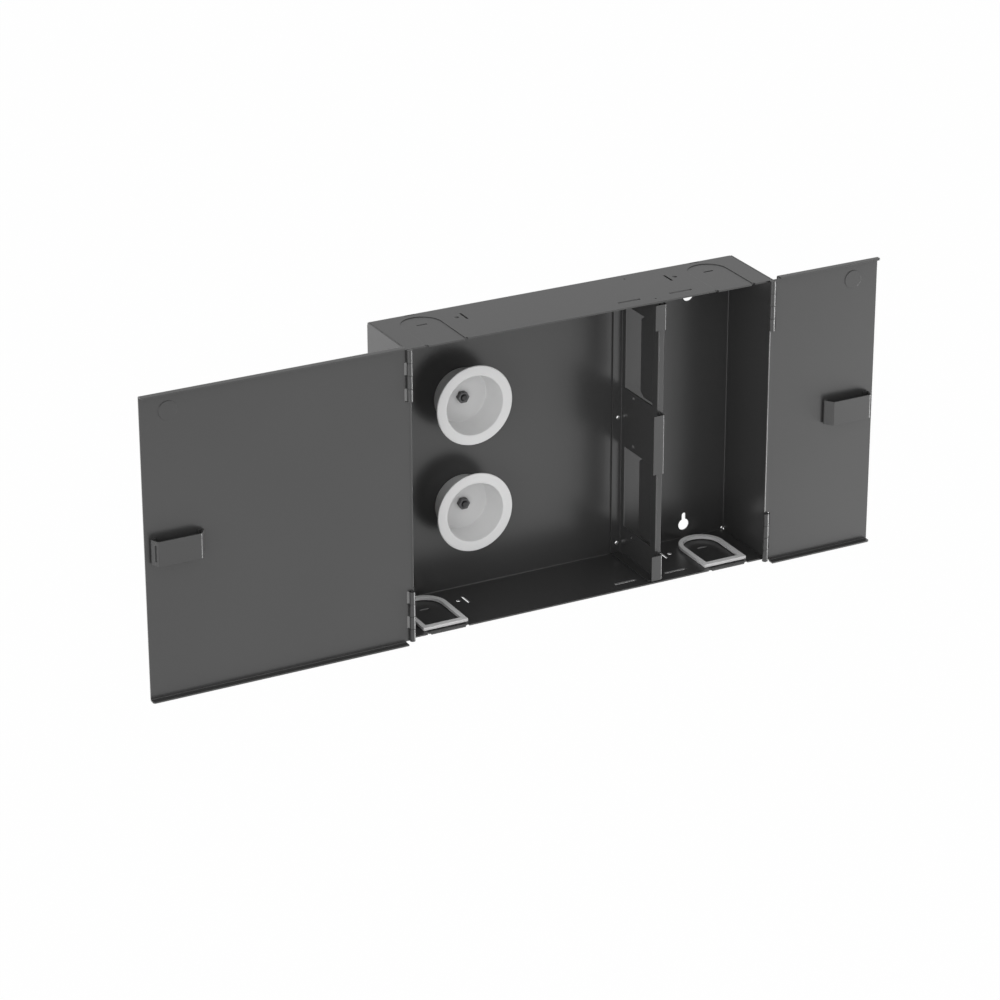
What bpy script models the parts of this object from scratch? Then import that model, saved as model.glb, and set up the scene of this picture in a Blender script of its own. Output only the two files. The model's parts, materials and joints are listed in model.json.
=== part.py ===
"""Wall-mount fibre enclosure with two doors, both swung fully open.

Everything is in metres. X runs to the right, Y runs into the wall and Z is up.
The origin is the centre of the back face, so the whole box lies at negative Y.
Distances called "inset" are measured from the box's front edge towards the wall.
"""

import math

import bmesh
import bpy
from mathutils import Matrix

# Sheet metal
SHEET = 0.0015
BEND_INSIDE_RADIUS = 0.001
TIGHT_BEND_RADIUS = 0.0005
SEAT_GAP = 0.0003

# Box
BOX_WIDTH = 0.410
BOX_HEIGHT = 0.3048
BOX_DEPTH = 0.084
CORNER_SEAM = 0.0004
SIDE_END_GAP = 0.0002
RELIEF_RADIUS = 0.0012
RELIEF_INSET = 0.0034

# Hinges
PIN_RADIUS = 0.00135
PIN_CLEARANCE = 0.00015
HINGE_GAP = 0.0004
HINGE_ABOVE_BOX = 0.0006
KNUCKLE_LENGTH = 0.01325
KNUCKLE_END_GAP = 0.0003
KNUCKLES_PER_HINGE = 4
ROLL_SWEEP = math.radians(280)
DOOR_NOTCH_CLEARANCE = 0.002

# Doors
DOOR_SEAM = 0.0031
DOOR_SEAM_FROM_WEB = 0.0022
DOOR_OVERHANG_TOP = 0.0045
DOOR_OVERHANG_BOTTOM = 0.003
DOOR_FLANGE_DEPTH = 0.008
DOOR_FLANGE_BEND_RADIUS = 0.0006
DOOR_FLANGE_CORNER_RADIUS = 0.0025
DOOR_FLANGE_START = 0.006
DOOR_EDGE_FROM_AXIS = -0.0021

# Lock knock-outs of the doors, discs half sheared out of the sheet
LOCK_DISC_RADIUS = 0.0095
LOCK_DISC_FROM_FREE_EDGE = 0.0285
LOCK_DISC_FROM_TOP = 0.0146

# Knock-outs and slots of the top and bottom walls
SHEAR_STEP = 0.0006
KNOCKOUT_FROM_SIDE = 0.0445
KNOCKOUT_RADIUS = 0.021
KNOCKOUT_FROM_BACK = 0.010
KNOCKOUT_NOTCH_WIDTH = 0.004
KNOCKOUT_NOTCH_DEPTH = 0.0024
SCREWDRIVER_SLOT = (0.011, 0.0024)
BEND_SLOT_FROM_BACK = 0.0032
TIE_HOLE_FROM_KNOCKOUT = 0.0382
TIE_HOLE_RADIUS = 0.0024
TIE_SLOT_FROM_KNOCKOUT = 0.046
TIE_SLOT = (0.0025, 0.017)
TIE_FROM_BACK = 0.030
PANEL_SLOT = (0.025, 0.003)
PANEL_SLOT_INSET = 0.0148
PANEL_SLOT_SPREAD = 0.0292
LOCATING_HOLE_RADIUS = 0.001
FRONT_LOCATING_HOLE_INSET = 0.0089
REAR_LOCATING_HOLE_FROM_BACK = 0.0124

# Keyholes of the back wall, each by the middle of its round part
KEYHOLE_RADIUS = 0.00625
KEYHOLE_NECK_WIDTH = 0.0047
KEYHOLE_NECK_REACH = 0.0132
KEYHOLE_FROM_RIGHT_SIDE = 0.0497
KEYHOLE_FROM_LEFT_SIDE = 0.033
KEYHOLE_FROM_TOP = 0.0349
KEYHOLE_FROM_BOTTOM = 0.0164

# Divider
RIGHT_COMPARTMENT_WIDTH = 0.1265
DIVIDER_FLANGE = 0.0105
DIVIDER_STRIP_REACH = 0.0065
DIVIDER_STRIP_INSET = 0.0092
WALL_FLANGE_FRONT_INSET = 0.003
WALL_FLANGE_FROM_BACK = 0.006
CUTOUT_RISE = 0.0017
OPENING_INNER_Z = 0.032
OPENING_FROM_TOP = 0.0312
OPENING_FROM_BACK = 0.010
OPENING_FRONT_INSET = 0.019
FLAP_OFFSET = 0.0025
FLAP_JOG = 0.004
ADAPTER_WINDOW_DEPTH = 0.0267
FLAP_END_GAP = 0.0015
FLAP_CHAMFER = (0.0065, 0.0045)
PANEL_HOLE_RADIUS = 0.00225
PANEL_HOLE_FROM_BACK = 0.0275
PANEL_HOLE_FROM_OPENING = 0.0058
RIVET_HOLE_RADIUS = 0.002
RIVET_HOLE_FROM_WEB = 0.0039
RIVET_HOLE_FROM_TOP = 0.0131

# Strike tabs of the divider, which stop the doors and take the latch bolts
STRIKE_INSET = 0.001
STRIKE_LEFT_REACH = 0.008
STRIKE_RIGHT_REACH = 0.0045
STRIKE_MIDDLE_HALF_HEIGHT = 0.0316
STRIKE_MIDDLE_DROP = 0.0016
STRIKE_END_HEIGHT = 0.0268
UPPER_STRIKE_FROM_TOP = 0.0047
LOWER_STRIKE_FROM_BOTTOM = 0.0024

# Catch brackets and slide latches on the doors
BRACKET_FREE_GAP = 0.0046
BRACKET_STEEP_RUN = 0.0041
BRACKET_PLATE_LENGTH = 0.045
BRACKET_SLOPE_RUN = 0.007
BRACKET_FOOT = 0.006
BRACKET_DEPTH = 0.0115
BRACKET_HEIGHT = 0.0254
BOLT_HEIGHT = 0.016
BOLT_THICKNESS = 0.0014
BOLT_LENGTH = 0.024
BOLT_BEHIND_PLATE = 0.0009
BOLT_SIDE_CLEARANCE = 0.0003
LATCH_TRAVEL = 0.006
KNOB_FROM_BOLT_END = 0.014
KNOB_HEAD_RADIUS = 0.006
KNOB_HEAD_HEIGHT = 0.0045
KNOB_SHANK_RADIUS = 0.002
KNOB_SHOULDER_RADIUS = 0.0035

# Slack storage spools
SPOOL_FROM_LEFT_SIDE = 0.101
SPOOL_UPPER_Z = 0.0575
SPOOL_LOWER_Z = -0.057
SPOOL_DEPTH = 0.031
SPOOL_WALL = 0.0018
SPOOL_REAR_RADIUS = 0.0295
SPOOL_FRONT_RADIUS = 0.0328
SPOOL_FLANGE_RADIUS = 0.0415
SPOOL_FLANGE_THICKNESS = 0.002
SPOOL_HOLE_CLEARANCE = 0.0004
STUD_RADIUS = 0.003
STUD_PROUD = 0.0015
NUT_ACROSS_FLATS = 0.011
NUT_THICKNESS = 0.0055

# Cable port trims on the bottom wall
TRIM_OUTER_HALF_WIDTH = 0.0245
TRIM_BAR = 0.005
TRIM_FRONT_INSET = 0.006
TRIM_FRONT_BAR = 0.006
TRIM_HEIGHT = 0.0032

# How finely round shapes are divided
BEND_STEPS = 4
ROLL_STEPS = 16
ROUND_STEPS = 24
SPOOL_STEPS = 64

# Places worked out from the sizes above
HALF_WIDTH = BOX_WIDTH / 2
HALF_HEIGHT = BOX_HEIGHT / 2
FRONT_Y = -BOX_DEPTH
KNUCKLE_BORE = PIN_RADIUS + PIN_CLEARANCE
KNUCKLE_RADIUS = KNUCKLE_BORE + SHEET
HINGE_X = HALF_WIDTH - KNUCKLE_RADIUS
HINGE_Y = FRONT_Y - HINGE_GAP - KNUCKLE_RADIUS
HINGE_LENGTH = KNUCKLES_PER_HINGE * KNUCKLE_LENGTH
HINGE_INNER_Z = HALF_HEIGHT + HINGE_ABOVE_BOX - HINGE_LENGTH
TOP_WALL_HALF_LENGTH = HALF_WIDTH - SHEET - CORNER_SEAM
SIDE_WALL_HALF_HEIGHT = HALF_HEIGHT - SHEET - BEND_INSIDE_RADIUS - SIDE_END_GAP
DIVIDER_WEB_X = HALF_WIDTH - RIGHT_COMPARTMENT_WIDTH
DOOR_SEAM_X = DIVIDER_WEB_X - DOOR_SEAM_FROM_WEB
DOOR_TOP_Z = HALF_HEIGHT + DOOR_OVERHANG_TOP
DOOR_BOTTOM_Z = -HALF_HEIGHT - DOOR_OVERHANG_BOTTOM
LOCK_DISC_Z = HALF_HEIGHT - LOCK_DISC_FROM_TOP
LEFT_DOOR_REACH = DOOR_SEAM_X - DOOR_SEAM / 2 + HINGE_X
RIGHT_DOOR_REACH = HINGE_X - DOOR_SEAM_X - DOOR_SEAM / 2
INNER_BACK_Y = -SHEET
SEAT_Y = INNER_BACK_Y - SEAT_GAP
DOOR_INNER_FACE = KNUCKLE_RADIUS - SHEET
KNOCKOUT_X = HALF_WIDTH - KNOCKOUT_FROM_SIDE
KNOCKOUT_STRAIGHT = BOX_DEPTH - KNOCKOUT_FROM_BACK - KNOCKOUT_RADIUS
TIE_HOLE_X = KNOCKOUT_X - TIE_HOLE_FROM_KNOCKOUT
TIE_SLOT_X = KNOCKOUT_X - TIE_SLOT_FROM_KNOCKOUT
LOCATING_HOLE_INSETS = (FRONT_LOCATING_HOLE_INSET, BOX_DEPTH - REAR_LOCATING_HOLE_FROM_BACK)
OPENING_OUTER_Z = HALF_HEIGHT - OPENING_FROM_TOP
OPENING_REAR_INSET = BOX_DEPTH - OPENING_FROM_BACK
FLAP_REAR_INSET = OPENING_REAR_INSET - ADAPTER_WINDOW_DEPTH
RIVET_HOLE_X = DIVIDER_WEB_X - RIVET_HOLE_FROM_WEB
RIVET_HOLE_Z = HALF_HEIGHT - RIVET_HOLE_FROM_TOP
STRIKE_LEFT_X = DIVIDER_WEB_X - STRIKE_LEFT_REACH
STRIKE_RIGHT_X = DIVIDER_WEB_X + STRIKE_RIGHT_REACH
UPPER_STRIKE_TOP_Z = HALF_HEIGHT - UPPER_STRIKE_FROM_TOP
LOWER_STRIKE_BOTTOM_Z = LOWER_STRIKE_FROM_BOTTOM - HALF_HEIGHT
SPOOL_X = SPOOL_FROM_LEFT_SIDE - HALF_WIDTH


def inset_y(distance):
    """Y of a point this far behind the box's front edge."""
    return FRONT_Y + distance


def arc(centre, radius, start, end, steps):
    """Points along an arc, both ends included. Angles are in radians."""
    angles = [start + (end - start) * step / steps for step in range(steps + 1)]
    return [(centre[0] + radius * math.cos(a), centre[1] + radius * math.sin(a)) for a in angles]


def circle(centre, radius, steps=ROUND_STEPS):
    """Points round a circle."""
    return arc(centre, radius, 0, 2 * math.pi, steps)[:-1]


def rectangle(low_a, low_b, high_a, high_b):
    """The four corners of an upright rectangle."""
    return [(low_a, low_b), (high_a, low_b), (high_a, high_b), (low_a, high_b)]


def centred_rectangle(centre, size):
    """A rectangle of this size about a middle point."""
    half_a, half_b = size[0] / 2, size[1] / 2
    return rectangle(centre[0] - half_a, centre[1] - half_b, centre[0] + half_a, centre[1] + half_b)


def arc_line(centre, radius, start, end, steps):
    """Stations along an arc, each with the direction in which the line runs there."""
    turn = math.copysign(math.pi / 2, end - start)
    angles = [start + (end - start) * step / steps for step in range(steps + 1)]
    return [
        (centre[0] + radius * math.cos(a), centre[1] + radius * math.sin(a), a + turn)
        for a in angles
    ]


def bent_line(corners, radius):
    """Stations along straight runs through the corners, each corner rounded to this radius."""
    first, last = corners[0], corners[-1]
    stations = [(*first, math.atan2(corners[1][1] - first[1], corners[1][0] - first[0]))]
    for before, corner, after in zip(corners, corners[1:], corners[2:]):
        heading_in = math.atan2(corner[1] - before[1], corner[0] - before[0])
        heading_out = math.atan2(after[1] - corner[1], after[0] - corner[0])
        turn = math.remainder(heading_out - heading_in, 2 * math.pi)
        side = math.copysign(1, turn)
        setback = radius * math.tan(abs(turn) / 2)
        start_x = corner[0] - setback * math.cos(heading_in)
        start_y = corner[1] - setback * math.sin(heading_in)
        centre = (
            start_x - side * radius * math.sin(heading_in),
            start_y + side * radius * math.cos(heading_in),
        )
        first_angle = heading_in - side * math.pi / 2
        stations += arc_line(centre, radius, first_angle, first_angle + turn, BEND_STEPS)
    before = corners[-2]
    stations.append((*last, math.atan2(last[1] - before[1], last[0] - before[0])))
    return stations


def strip_outline(stations, thickness):
    """Closed outline of a strip of constant thickness whose middle follows the stations."""
    half = thickness / 2
    left = [(x - half * math.sin(h), y + half * math.cos(h)) for x, y, h in stations]
    right = [(x + half * math.sin(h), y - half * math.cos(h)) for x, y, h in stations]
    return left + right[::-1]


def add_prism(shell, outline, axis, low, high):
    """Adds a flat outline pushed from low to high along one axis.

    The outline's two numbers are the other two axes, in the order X, Y, Z.
    """
    place = {
        "X": lambda a, b: (low, a, b),
        "Y": lambda a, b: (a, low, b),
        "Z": lambda a, b: (a, b, low),
    }[axis]
    step = {"X": (high - low, 0, 0), "Y": (0, high - low, 0), "Z": (0, 0, high - low)}[axis]
    face = shell.faces.new([shell.verts.new(place(a, b)) for a, b in outline])
    pushed = bmesh.ops.extrude_face_region(shell, geom=[face])["geom"]
    moved = [item for item in pushed if isinstance(item, bmesh.types.BMVert)]
    bmesh.ops.translate(shell, verts=moved, vec=step)


def mesh_of_prisms(name, prisms, mirror_x=False):
    """One mesh that holds separate prisms, turned left to right where mirror_x is set."""
    shell = bmesh.new()
    for outline, axis, low, high in prisms:
        add_prism(shell, outline, axis, low, high)
    if mirror_x:
        bmesh.ops.scale(shell, verts=shell.verts, vec=(-1, 1, 1))
    bmesh.ops.recalc_face_normals(shell, faces=shell.faces)
    mesh = bpy.data.meshes.new(name)
    shell.to_mesh(mesh)
    shell.free()
    return mesh


def add_object(name, mesh, material, parent=None):
    """Links a mesh into the scene as a named piece."""
    piece = bpy.data.objects.new(name, mesh)
    bpy.context.scene.collection.objects.link(piece)
    if material is not None:
        mesh.materials.append(material)
    piece.parent = parent
    return piece


def shape_with(piece, operation, prisms, mirror_x=False):
    """Adds prisms to a piece or cuts them from it. Prisms given together must not overlap."""
    name = f"{piece.name}_{operation.lower()}_{len(piece.modifiers)}"
    helper = add_object(name, mesh_of_prisms(name, prisms, mirror_x), None, piece)
    helper.hide_render = True
    helper.display_type = "WIRE"
    boolean = piece.modifiers.new(name, "BOOLEAN")
    boolean.operation = operation
    boolean.solver = "EXACT"
    boolean.object = helper


def turned_mesh(name, profile, steps):
    """A turned mesh about the Y axis. The profile's points are (radius, y) and close on themselves."""
    shell = bmesh.new()
    ring = [shell.verts.new((radius, y, 0)) for radius, y in profile]
    pairs = [(a, b) for a, b in zip(ring, ring[1:] + ring[:1]) if a.co.x > 0 or b.co.x > 0]
    edges = [shell.edges.new(pair) for pair in pairs]
    bmesh.ops.spin(
        shell,
        geom=ring + edges,
        cent=(0, 0, 0),
        axis=(0, 1, 0),
        angle=2 * math.pi,
        steps=steps,
        use_merge=True,
    )
    bmesh.ops.remove_doubles(shell, verts=shell.verts, dist=1e-6)
    bmesh.ops.recalc_face_normals(shell, faces=shell.faces)
    mesh = bpy.data.meshes.new(name)
    shell.to_mesh(mesh)
    shell.free()
    mesh.shade_smooth()
    mesh.set_sharp_from_angle(angle=math.radians(40))
    return mesh


def rod_mesh(name, radius, length, steps=ROUND_STEPS):
    """A round rod that starts at the origin and runs along +Z."""
    shell = bmesh.new()
    bmesh.ops.create_cone(
        shell,
        cap_ends=True,
        segments=steps,
        radius1=radius,
        radius2=radius,
        depth=length,
        matrix=Matrix.Translation((0, 0, length / 2)),
    )
    mesh = bpy.data.meshes.new(name)
    shell.to_mesh(mesh)
    shell.free()
    mesh.shade_smooth()
    mesh.set_sharp_from_angle(angle=math.radians(40))
    return mesh


def make_material(name, colour, roughness, metallic):
    """A plain painted, plastic or metal finish."""
    material = bpy.data.materials.new(name)
    material.use_nodes = True
    shader = material.node_tree.nodes["Principled BSDF"]
    shader.inputs["Base Color"].default_value = (*colour, 1)
    shader.inputs["Roughness"].default_value = roughness
    shader.inputs["Metallic"].default_value = metallic
    material.diffuse_color = (*colour, 1)
    return material


def clear_scene():
    """Removes whatever the scene holds."""
    for item in list(bpy.data.objects):
        bpy.data.objects.remove(item, do_unlink=True)


def knuckle_spans(for_door):
    """Height spans of the door's or the box's knuckles on the upper hinge.

    The uppermost knuckle is the door's, and they take turns below it.
    """
    spans = []
    for index in range(KNUCKLES_PER_HINGE):
        if (index % 2 == 1) != for_door:
            continue
        low = HINGE_INNER_Z + index * KNUCKLE_LENGTH
        high = low + KNUCKLE_LENGTH
        if index > 0:
            low += KNUCKLE_END_GAP / 2
        if index < KNUCKLES_PER_HINGE - 1:
            high -= KNUCKLE_END_GAP / 2
        spans.append((low, high))
    return spans


def spans_between(spans, low, high):
    """The gaps that a list of upper-hinge spans and their mirror images leave from low to high."""
    taken = sorted(spans + [(-top, -bottom) for bottom, top in spans])
    edges = [low] + [edge for span in taken for edge in span] + [high]
    return list(zip(edges[::2], edges[1::2]))


def keyhole(x, z):
    """Outline of a keyhole: a round hole with a narrow neck above it."""
    half_neck = KEYHOLE_NECK_WIDTH / 2
    join = math.asin(half_neck / KEYHOLE_RADIUS)
    bulb = arc((x, z), KEYHOLE_RADIUS, math.pi / 2 + join, 5 * math.pi / 2 - join, ROUND_STEPS)
    cap_z = z + KEYHOLE_NECK_REACH - half_neck
    neck = arc((x, cap_z), half_neck, 0, math.pi, 8)
    return bulb + neck


def knockout(x, front_y):
    """Outline of one D-shaped knock-out, open towards the front."""
    back = arc((x, inset_y(KNOCKOUT_STRAIGHT)), KNOCKOUT_RADIUS, 0, math.pi, ROUND_STEPS)
    return [(x - KNOCKOUT_RADIUS, front_y), (x + KNOCKOUT_RADIUS, front_y)] + back


def wall_cuts():
    """Outlines cut through both the top and the bottom wall, in groups that don't overlap."""
    slot_y = inset_y(KNOCKOUT_STRAIGHT)
    screwdriver_slots = []
    ties = []
    for side in (-1, 1):
        knockout_x = side * KNOCKOUT_X
        screwdriver_slots.append(centred_rectangle((knockout_x, slot_y), SCREWDRIVER_SLOT))
        bend_slot = (knockout_x, -BEND_SLOT_FROM_BACK)
        screwdriver_slots.append(centred_rectangle(bend_slot, SCREWDRIVER_SLOT))
        ties.append(circle((side * TIE_HOLE_X, -TIE_FROM_BACK), TIE_HOLE_RADIUS, 16))
        ties.append(centred_rectangle((side * TIE_SLOT_X, -TIE_FROM_BACK), TIE_SLOT))
    panel_x = DIVIDER_WEB_X - SHEET
    panel_slots = [
        centred_rectangle(
            (panel_x + side * PANEL_SLOT_SPREAD, inset_y(PANEL_SLOT_INSET)), PANEL_SLOT
        )
        for side in (-1, 1)
    ]
    locating_holes = [
        circle((RIVET_HOLE_X, inset_y(inset)), LOCATING_HOLE_RADIUS, 12)
        for inset in LOCATING_HOLE_INSETS
    ]
    return [screwdriver_slots, ties, panel_slots, locating_holes]


def shear_knockouts(body):
    """Sets each knock-out a step out of its wall: down on the top, outwards below the bottom."""
    inside = HALF_HEIGHT - SHEET
    beyond = FRONT_Y - SHEET
    overlap = SHEET / 3
    for side in (-1, 1):
        x = side * KNOCKOUT_X
        pad = knockout(x, FRONT_Y)
        recess = knockout(x, beyond)
        pads = [
            (pad, "Z", inside - SHEAR_STEP, inside + overlap),
            (pad, "Z", -HALF_HEIGHT - SHEAR_STEP, overlap - HALF_HEIGHT),
        ]
        recesses = [
            (recess, "Z", HALF_HEIGHT - SHEAR_STEP, HALF_HEIGHT + SHEET),
            (recess, "Z", -inside - SHEAR_STEP, SHEET - inside),
        ]
        shape_with(body, "UNION", pads)
        shape_with(body, "DIFFERENCE", recesses)


def make_enclosure_body(material):
    """The box: one sheet bent at the back into four walls, with the box's share of the knuckles."""
    middle = SHEET / 2
    radius = BEND_INSIDE_RADIUS + middle
    walls = bent_line(
        [
            (FRONT_Y, HALF_HEIGHT - middle),
            (-middle, HALF_HEIGHT - middle),
            (-middle, middle - HALF_HEIGHT),
            (FRONT_Y, middle - HALF_HEIGHT),
        ],
        radius,
    )
    top_and_bottom = (strip_outline(walls, SHEET), "X", -TOP_WALL_HALF_LENGTH, TOP_WALL_HALF_LENGTH)
    body = add_object(
        "enclosure_body", mesh_of_prisms("enclosure_body", [top_and_bottom]), material
    )

    side_x = HALF_WIDTH - middle
    roll_radius = KNUCKLE_RADIUS - middle
    sides = bent_line(
        [(-side_x, HINGE_Y), (-side_x, -middle), (side_x, -middle), (side_x, HINGE_Y)], radius
    )
    left_roll = arc_line(
        (-HINGE_X, HINGE_Y), roll_radius, math.pi + ROLL_SWEEP, math.pi, ROLL_STEPS
    )
    right_roll = arc_line((HINGE_X, HINGE_Y), roll_radius, 0, -ROLL_SWEEP, ROLL_STEPS)
    outline = strip_outline(left_roll[:-1] + sides + right_roll[1:], SHEET)
    shape_with(
        body, "UNION", [(outline, "Z", -SIDE_WALL_HALF_HEIGHT, SIDE_WALL_HALF_HEIGHT)]
    )
    side_back_y = -SHEET - BEND_INSIDE_RADIUS - SIDE_END_GAP
    overlap_z = SIDE_WALL_HALF_HEIGHT - SHEET
    side_ends = []
    for low_x, high_x in ((-HALF_WIDTH, SHEET - HALF_WIDTH), (HALF_WIDTH - SHEET, HALF_WIDTH)):
        side_end = rectangle(low_x, FRONT_Y, high_x, side_back_y)
        side_ends.append((side_end, "Z", overlap_z, HALF_HEIGHT))
        side_ends.append((side_end, "Z", -HALF_HEIGHT, -overlap_z))
    shape_with(body, "UNION", side_ends)

    reach = 2 * KNUCKLE_RADIUS
    gaps = spans_between(knuckle_spans(False), -HALF_HEIGHT, HALF_HEIGHT)
    clearings = []
    for side in (-1, 1):
        block = rectangle(
            side * HINGE_X - reach, HINGE_Y - reach, side * HINGE_X + reach, FRONT_Y
        )
        clearings += [(block, "Z", low, high) for low, high in gaps]
    shape_with(body, "DIFFERENCE", clearings)

    shear_knockouts(body)
    inside_wall = HALF_HEIGHT - 2 * SHEET
    outside_wall = HALF_HEIGHT + SHEET
    for group in wall_cuts():
        cuts = [(cut, "Z", inside_wall, outside_wall) for cut in group]
        cuts += [(cut, "Z", -outside_wall, -inside_wall) for cut in group]
        shape_with(body, "DIFFERENCE", cuts)
    notches = []
    for side in (-1, 1):
        for edge in (-1, 1):
            x = side * KNOCKOUT_X + edge * KNOCKOUT_RADIUS
            notches.append(
                rectangle(
                    x - KNOCKOUT_NOTCH_WIDTH / 2,
                    FRONT_Y - SHEET,
                    x + KNOCKOUT_NOTCH_WIDTH / 2,
                    inset_y(KNOCKOUT_NOTCH_DEPTH),
                )
            )
    shape_with(
        body, "DIFFERENCE", [(notch, "Z", -outside_wall, outside_wall) for notch in notches]
    )

    through_back = ("Y", -2 * SHEET, SHEET)
    holes = [
        keyhole(x, z)
        for x in (KEYHOLE_FROM_LEFT_SIDE - HALF_WIDTH, HALF_WIDTH - KEYHOLE_FROM_RIGHT_SIDE)
        for z in (HALF_HEIGHT - KEYHOLE_FROM_TOP, KEYHOLE_FROM_BOTTOM - HALF_HEIGHT)
    ]
    holes += [
        circle((RIVET_HOLE_X, z), RIVET_HOLE_RADIUS, 16) for z in (-RIVET_HOLE_Z, 0, RIVET_HOLE_Z)
    ]
    holes += [
        circle((side_a * (HALF_WIDTH - RELIEF_INSET), side_b * (HALF_HEIGHT - RELIEF_INSET)),
               RELIEF_RADIUS, 12)
        for side_a in (-1, 1)
        for side_b in (-1, 1)
    ]
    shape_with(body, "DIFFERENCE", [(hole, *through_back) for hole in holes])
    return body


def strike_spans():
    """Height spans of the three strike tabs."""
    return [
        (LOWER_STRIKE_BOTTOM_Z, LOWER_STRIKE_BOTTOM_Z + STRIKE_END_HEIGHT),
        (
            -STRIKE_MIDDLE_HALF_HEIGHT - STRIKE_MIDDLE_DROP,
            STRIKE_MIDDLE_HALF_HEIGHT - STRIKE_MIDDLE_DROP,
        ),
        (UPPER_STRIKE_TOP_Z - STRIKE_END_HEIGHT, UPPER_STRIKE_TOP_Z),
    ]


def opening_spans():
    """Height spans of the divider's two adapter openings."""
    return [
        (CUTOUT_RISE - OPENING_OUTER_Z, CUTOUT_RISE - OPENING_INNER_Z),
        (CUTOUT_RISE + OPENING_INNER_Z, CUTOUT_RISE + OPENING_OUTER_Z),
    ]


def make_divider(material):
    """The panel between the two compartments, bent from one sheet with three strike tabs."""
    middle = SHEET / 2
    web_x = DIVIDER_WEB_X + middle
    left_x = DIVIDER_WEB_X - DIVIDER_FLANGE
    strip_y = inset_y(DIVIDER_STRIP_INSET) + middle
    base_y = SEAT_Y - middle
    radius = TIGHT_BEND_RADIUS + middle
    seat_z = HALF_HEIGHT - SHEET - SEAT_GAP - middle
    flange_span = (inset_y(WALL_FLANGE_FRONT_INSET), -WALL_FLANGE_FROM_BACK)

    web = bent_line(
        [
            (left_x, base_y),
            (web_x, base_y),
            (web_x, strip_y),
            (DIVIDER_WEB_X + DIVIDER_STRIP_REACH, strip_y),
        ],
        radius,
    )
    web_half_height = seat_z - radius
    divider = add_object(
        "divider_panel",
        mesh_of_prisms(
            "divider_panel", [(strip_outline(web, SHEET), "Z", -web_half_height, web_half_height)]
        ),
        material,
    )
    wall_flanges = bent_line(
        [(left_x, seat_z), (web_x, seat_z), (web_x, -seat_z), (left_x, -seat_z)], radius
    )
    shape_with(
        divider,
        "UNION",
        [(strip_outline(wall_flanges, SHEET), "Y", *flange_span)],
    )

    clear_web = [
        (
            rectangle(DIVIDER_WEB_X - middle, FRONT_Y, web_x + SHEET, inset_y(DIVIDER_STRIP_INSET)),
            "Z",
            -web_half_height,
            web_half_height,
        )
    ]
    shape_with(divider, "DIFFERENCE", clear_web)
    fold_x = STRIKE_RIGHT_X - middle
    fold_start_x = fold_x - radius
    strip_ends = rectangle(
        fold_start_x,
        strip_y - SHEET,
        DIVIDER_WEB_X + 2 * DIVIDER_STRIP_REACH,
        strip_y + SHEET,
    )
    shape_with(divider, "DIFFERENCE", [(strip_ends, "Z", low, high) for low, high in strike_spans()])
    openings = []
    for low, high in opening_spans():
        outline = rectangle(
            inset_y(OPENING_FRONT_INSET), low, inset_y(OPENING_REAR_INSET), high
        )
        openings.append((outline, "X", DIVIDER_WEB_X - SHEET, DIVIDER_WEB_X + 2 * SHEET))
    shape_with(divider, "DIFFERENCE", openings)

    strike = bent_line(
        [
            (fold_start_x - middle, strip_y),
            (fold_x, strip_y),
            (fold_x, inset_y(STRIKE_INSET) + middle),
            (STRIKE_LEFT_X, inset_y(STRIKE_INSET) + middle),
        ],
        radius,
    )
    outline = strip_outline(strike, SHEET)
    shape_with(divider, "UNION", [(outline, "Z", low, high) for low, high in strike_spans()])

    jog_y = inset_y(OPENING_FRONT_INSET)
    flap = bent_line(
        [
            (web_x, jog_y - SHEET),
            (web_x, jog_y),
            (web_x + FLAP_OFFSET, jog_y + FLAP_JOG),
            (web_x + FLAP_OFFSET, inset_y(FLAP_REAR_INSET)),
        ],
        radius,
    )
    flaps = []
    corners = []
    for bottom, top in opening_spans():
        low, high = bottom + FLAP_END_GAP, top - FLAP_END_GAP
        flaps.append((strip_outline(flap, SHEET), "Z", low, high))
        run, rise = FLAP_CHAMFER
        rear = inset_y(FLAP_REAR_INSET)
        for edge, towards in ((low, 1), (high, -1)):
            corner = [
                (rear + SHEET, edge - towards * SHEET),
                (rear + SHEET, edge + towards * rise),
                (rear, edge + towards * rise),
                (rear - run, edge),
                (rear - run, edge - towards * SHEET),
            ]
            corners.append((corner, "X", web_x, web_x + FLAP_OFFSET + 2 * SHEET))
    shape_with(divider, "UNION", flaps)
    shape_with(divider, "DIFFERENCE", corners)

    holes = []
    for low, high in opening_spans():
        for z in (low - PANEL_HOLE_FROM_OPENING, high + PANEL_HOLE_FROM_OPENING):
            hole = circle((-PANEL_HOLE_FROM_BACK, z), PANEL_HOLE_RADIUS, 16)
            holes.append((hole, "X", DIVIDER_WEB_X - SHEET, DIVIDER_WEB_X + 2 * SHEET))
    for z in (-RIVET_HOLE_Z, 0, RIVET_HOLE_Z):
        hole = circle((RIVET_HOLE_X, z), RIVET_HOLE_RADIUS, 16)
        holes.append((hole, "Y", base_y - SHEET, base_y + SHEET))
    for side in (-1, 1):
        for inset in LOCATING_HOLE_INSETS:
            hole = circle((RIVET_HOLE_X, inset_y(inset)), LOCATING_HOLE_RADIUS, 12)
            low, high = sorted((side * (seat_z - SHEET), side * (seat_z + SHEET)))
            holes.append((hole, "Z", low, high))
    bolt_low, bolt_high = bolt_closed_insets()
    window = rectangle(
        inset_y(bolt_low - BOLT_SIDE_CLEARANCE),
        -BOLT_HEIGHT / 2 - BOLT_SIDE_CLEARANCE,
        inset_y(bolt_high + BOLT_SIDE_CLEARANCE),
        BOLT_HEIGHT / 2 + BOLT_SIDE_CLEARANCE,
    )
    holes.append((window, "X", STRIKE_RIGHT_X - 1.5 * SHEET, STRIKE_RIGHT_X + SHEET))
    shape_with(divider, "DIFFERENCE", holes)
    return divider


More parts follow.
